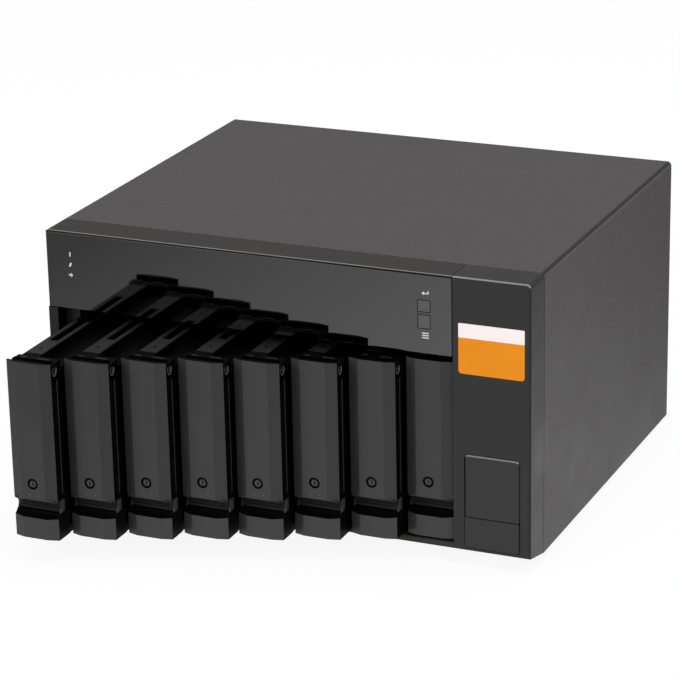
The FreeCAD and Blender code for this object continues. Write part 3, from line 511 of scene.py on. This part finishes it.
def lever_edge_highlight(number):
    """Painted highlight: a paler strip along the back of the lever's right side."""
    low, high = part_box(f"tray_{number}_handle")
    sunk, stand, wide = 0.1 * MM, 0.03 * MM, 0.9 * MM
    bottom, top = low.z + 12 * MM, high.z - 12.5 * MM
    piece(f"lever_edge_{number}", f"tray_{number}_lever", FINISHES["carrier_plastic"],
          lambda form: bar(form, (high.x - sunk, high.y - wide, bottom), (high.x + stand, high.y, top)))


def hinge_glint(number):
    """Arcs shaped as spring wire round the two ends of the hinge, in a bright finish: painted glints."""
    low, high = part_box(f"tray_{number}_handle")
    inset, apart, glint_thick = 0.2 * MM, 30 * MM, 0.3 * MM
    outer, inner = (arc(radius, start=-120, end=42, steps=9) for radius in (2.95, 2.65))
    corners = placed(outer + inner[::-1], low.y + CAP_BACK, high.z - CAP_DROP)

    def glints(form):
        for left in (low.x + inset, low.x + inset + apart):
            side_prism(form, corners, left, glint_thick)
    # Painted highlight: glints by the hinge.
    piece(f"hinge_glint_{number}", f"tray_{number}", HIGHLIGHT_PAINT, glints)


def toe_cheeks(number):
    """Cheeks at both sides of the toe, hollowed in front by the finger scoop."""
    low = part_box(f"tray_{number}_handle")[0]
    inset, apart, thick = 0.15 * MM, 29.7 * MM, 0.7 * MM
    scoop_y, scoop_z, scoop_radius = -1.5, 4.2, 8      # from here in millimetres, from the lever's low edge
    back, bottom, top = 10.8, -0.3, 7.9
    scoop = [(scoop_y + a, scoop_z + b) for a, b in arc(scoop_radius, start=27.5, end=-34.2, steps=8)]
    corners = placed([(back, bottom), (back, top), *scoop], low.y, low.z)

    def cheeks(form):
        for left in (low.x + inset, low.x + inset + apart):
            side_prism(form, corners, left, thick)
    piece(f"toe_cheeks_{number}", f"tray_{number}", FINISHES["carrier_plastic"], cheeks)


def wall_clips(number):
    """Two low clips on top of the tray's front wall."""
    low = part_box(f"tray_{number}_handle")[0]
    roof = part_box(f"tray_{number}_carrier")[1].z
    front, back, high = low.y + 11 * MM, low.y + 12.4 * MM, 0.5 * MM

    def clips(form):
        for left, right in ((5 * MM, 9 * MM), (17 * MM, 25 * MM)):
            bar(form, (low.x + left, front, roof), (low.x + right, back, roof + high))
    piece(f"wall_clips_{number}", f"tray_{number}", GRIP_AND_SHADE, clips)


def strip_lit_front(number):
    """The lit front of the tray's top strip: a thin sheet in the strip's own tone, forked round the strip's
    slot, where the strip behind is painted shade; and the hole in it as a dark disc of painted shade.
    """
    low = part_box(f"tray_{number}_handle")[0]
    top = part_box(f"tray_{number}_carrier")[1].z
    left, right, front = low.x + 3.8 * MM, low.x + 15.2 * MM, low.y + 20 * MM
    slot_left, slot_right = low.x + 7.5 * MM, low.x + 11.5 * MM
    slot_front, slot_back = low.y + 46 * MM, low.y + 84 * MM
    margin, thick = 1 * MM, 0.25 * MM
    fork = slot_front - margin
    hole_x, hole_y, hole_radius = left + 5.4 * MM, front + 10 * MM, 1.3

    def pad(form):
        bar(form, (left, front, top), (right, fork, top + thick))
        bar(form, (left, fork, top), (slot_left - margin, slot_back, top + thick))
        bar(form, (slot_right + margin, fork, top), (right, slot_back, top + thick))
    piece(f"strip_lit_front_{number}", f"tray_{number}", STRIP_LIT_TONE, pad)

    rim = placed(arc(hole_radius, start=0, end=360, steps=16)[:-1], hole_x, hole_y)
    # Painted shade: the hole is a dark disc.
    piece(f"strip_hole_shade_{number}", f"tray_{number}", DARK_JOINT_AND_SHADE, lambda form: flat(form, rim, top + thick, SKIN))


# ---- back ----

# The profile is (radius, place behind the rear panel).
HEAD_PROFILE = [(2, -1.1), (2, 0), (3.6, 0), (3.6, 0.5), (3.2, 1.0), (2.3, 1.3), (1.5, 1.38)]
CROSS_LONG, CROSS_WIDE = 1.5, 0.35        # half the length and half the width of the cross's bars
SCREW_REACH = 8 * MM                      # points of one screw are nearer than this in X and in Z


def screw_places():
    """Middle of each plain screw in X and Z, from the points of the node that holds them all."""
    screws = []
    for vertex in frame["nodes"]["rear_screws"].data.vertices:
        x, z = vertex.co.x, vertex.co.z
        for points in screws:
            if abs(points[0][0] - x) < SCREW_REACH and abs(points[0][1] - z) < SCREW_REACH:
                points.append((x, z))
                break
        else:
            screws.append([(x, z)])
    return [[(min(values) + max(values)) / 2 for values in zip(*points)] for points in screws]


def rear_screw_heads():
    """Pan heads over the plain screws, with their cross recesses drawn as dark sheets of painted shade."""
    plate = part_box("rear_panel")[1].y
    places = screw_places()
    long, wide = CROSS_LONG, CROSS_WIDE
    cross = [(wide, wide), (wide, long), (-wide, long), (-wide, wide), (-long, wide), (-long, -wide),
             (-wide, -wide), (-wide, -long), (wide, -long), (wide, -wide), (long, -wide), (long, wide)]
    cross_front, cross_deep = plate + 1.3 * MM, 0.09 * MM

    def heads(form):
        for x, z in places:
            turned(form, HEAD_PROFILE, (x, plate, z), sides=28)
    piece("screw_heads", "chassis", FINISHES["black_screws"], heads, smooth=True,
          replaces=("rear_screws",))

    def crosses(form):
        for x, z in places:
            prism(form, placed(cross, x, z), cross_front, cross_deep)
    # Painted shade in the cross recesses.
    piece("screw_recesses", "chassis", DARK_JOINT_AND_SHADE, crosses)


dress_nodes()
for number in TRAYS:
    shade_tray(number)
shade_bezel()
shade_case()
shade_cover_bends()
lamp_signs()
key_signs()
column_label()
seam_lines()
column_edge_shade()
for number in TRAYS:
    for trim in (lock_trim, hinge_caps, lever_edge_highlight, hinge_glint, toe_cheeks, wall_clips, strip_lit_front):
        trim(number)
rear_screw_heads()


# ---- floor, lamps and camera ----

FLOOR_REACH = 6.0
FLOOR_COLOUR = (0.8, 0.8, 0.8, 1)
FLOOR_SEEN = 1.03             # strength that the camera sees
# The floor's painted reflection: over these stretches its strength in gloss changes by place.
LEFT_FADE = (-0.42, -0.04)    # the stretch in X over which gloss shows the floor brighter and brighter
BACK_FADE = (0.1, 0.5)        # the stretch in Y over which it shows it dimmer and dimmer
AIM = Vector((0, 0, 0.1))     # what the lamps face


def mixed(nodes, links, factor, first, second):
    """Two shaders mixed by a number or by a socket."""
    mix = nodes.new("ShaderNodeMixShader")
    if isinstance(factor, float):
        mix.inputs[0].default_value = factor
    else:
        links.new(factor, mix.inputs[0])
    links.new(first, mix.inputs[1])
    links.new(second, mix.inputs[2])
    return mix.outputs[0]


def picked(nodes, links, operation, first, second):
    """The greater or the lesser of two factors: operation is MAXIMUM or MINIMUM."""
    node = nodes.new("ShaderNodeMath")
    node.operation = operation
    links.new(first, node.inputs[0])
    links.new(second, node.inputs[1])
    return node.outputs[0]


def seen_directly(nodes, links, path):
    """1 for rays from the camera and rays that passed through something clear, and 0 for others."""
    camera_ray, clear_ray = path.outputs["Is Camera Ray"], path.outputs["Is Transmission Ray"]
    return picked(nodes, links, "MAXIMUM", camera_ray, clear_ray)


def surroundings(ambient, gloss):
    """White to the camera, dimmer as a light and dimmer still in gloss."""
    world = bpy.data.worlds.new("studio")
    bpy.context.scene.world = world
    world.use_nodes = True
    nodes, links = world.node_tree.nodes, world.node_tree.links
    nodes.clear()
    path = nodes.new("ShaderNodeLightPath")
    lights = []
    for strength in (ambient, gloss, 1.0):
        light = nodes.new("ShaderNodeBackground")
        light.inputs["Color"].default_value = (1, 1, 1, 1)
        light.inputs["Strength"].default_value = strength
        lights.append(light.outputs[0])
    lit = mixed(nodes, links, path.outputs["Is Glossy Ray"], lights[0], lights[1])
    shown = mixed(nodes, links, seen_directly(nodes, links, path), lit, lights[2])
    out = nodes.new("ShaderNodeOutputWorld")
    links.new(shown, out.inputs["Surface"])


def floor_mesh(reach):
    """A square on the ground."""
    mesh = bpy.data.meshes.new("floor")
    corners = [(-reach, -reach, 0), (reach, -reach, 0), (reach, reach, 0), (-reach, reach, 0)]
    mesh.from_pydata(corners, [], [(0, 1, 2, 3)])
    return mesh


def painted_floor_reflection(nodes, links, dim, bright, far):
    """Painted reflection: the floor's strength in gloss, bright at the front right, fading to dim at the
    left and to far at the back.
    """
    place = nodes.new("ShaderNodeTexCoord")
    apart = nodes.new("ShaderNodeSeparateXYZ")
    links.new(place.outputs["Object"], apart.inputs[0])
    fades = []
    for axis, ends, strengths in (("X", LEFT_FADE, (dim, bright)), ("Y", BACK_FADE, (bright, far))):
        fade = nodes.new("ShaderNodeMapRange")
        for socket, value in zip(("From Min", "From Max", "To Min", "To Max"), (*ends, *strengths)):
            fade.inputs[socket].default_value = value
        links.new(apart.outputs[axis], fade.inputs["Value"])
        fades.append(fade.outputs["Result"])
    sheen = nodes.new("ShaderNodeEmission")
    links.new(picked(nodes, links, "MINIMUM", *fades), sheen.inputs["Strength"])
    return sheen.outputs[0]


def floor(shadow, dim, bright, far):
    """White floor that shows a share of the object's shadow; dim, bright and far are strengths in gloss,
    where the floor paints a reflection that changes by place.
    """
    mesh = floor_mesh(FLOOR_REACH)
    thing = bpy.data.objects.new("floor", mesh)
    bpy.context.scene.collection.objects.link(thing)
    made = bpy.data.materials.new("floor")
    made.use_nodes = True
    nodes, links = made.node_tree.nodes, made.node_tree.links
    nodes.clear()
    path = nodes.new("ShaderNodeLightPath")
    matte = nodes.new("ShaderNodeBsdfDiffuse")
    matte.inputs["Color"].default_value = FLOOR_COLOUR
    white = nodes.new("ShaderNodeEmission")
    white.inputs["Strength"].default_value = FLOOR_SEEN
    shown = mixed(nodes, links, 1 - shadow, matte.outputs[0], white.outputs[0])
    plain = mixed(nodes, links, seen_directly(nodes, links, path), matte.outputs[0], shown)
    sheen = painted_floor_reflection(nodes, links, dim, bright, far)
    surface = mixed(nodes, links, path.outputs["Is Glossy Ray"], plain, sheen)
    out = nodes.new("ShaderNodeOutputMaterial")
    links.new(surface, out.inputs["Surface"])
    mesh.materials.append(made)


def lamp(name, place, watts, size):
    """A soft square lamp that faces the object."""
    light = bpy.data.lights.new(name, "AREA")
    light.energy = watts
    light.size = size
    thing = bpy.data.objects.new(name, light)
    bpy.context.scene.collection.objects.link(thing)
    thing.location = place
    thing.rotation_mode = "QUATERNION"
    thing.rotation_quaternion = (AIM - Vector(place)).to_track_quat("-Z", "Y")


def camera(place, azimuth, elevation, roll, lens):
    """A camera in place, turned to azimuth, elevation and roll in degrees; lens is in millimetres."""
    azimuth, elevation, roll = (math.radians(angle) for angle in (azimuth, elevation, roll))
    back = Vector((math.sin(azimuth) * math.cos(elevation), -math.cos(azimuth) * math.cos(elevation),
                   math.sin(elevation)))
    right = (-back).cross(Vector((0, 0, 1))).normalized()
    up = right.cross(-back)
    across = math.cos(roll) * right + math.sin(roll) * up
    over = math.cos(roll) * up - math.sin(roll) * right
    eye = bpy.data.cameras.new("camera")
    eye.lens = lens
    eye.sensor_width = 36
    thing = bpy.data.objects.new("camera", eye)
    bpy.context.scene.collection.objects.link(thing)
    thing.matrix_world = Matrix.Translation(place) @ Matrix((across, over, back)).transposed().to_4x4()
    bpy.context.scene.camera = thing


surroundings(ambient=0.55, gloss=0.45)
floor(shadow=0.12, dim=0.5, bright=1.2, far=0.3)
lamp("top_lamp", (0.3, 0.2, 2.4), watts=28.5, size=1.6)
lamp("side_lamp", (1.0, -0.45, 0.4), watts=3.1, size=0.6)
lamp("front_lamp", (-1.6, -2.0, 1.0), watts=21, size=1.4)
camera((0.72356, -1.65019, 0.74407), azimuth=23.735, elevation=19.625, roll=-1.167, lens=154.8)
bpy.context.scene.view_settings.view_transform = "Standard"
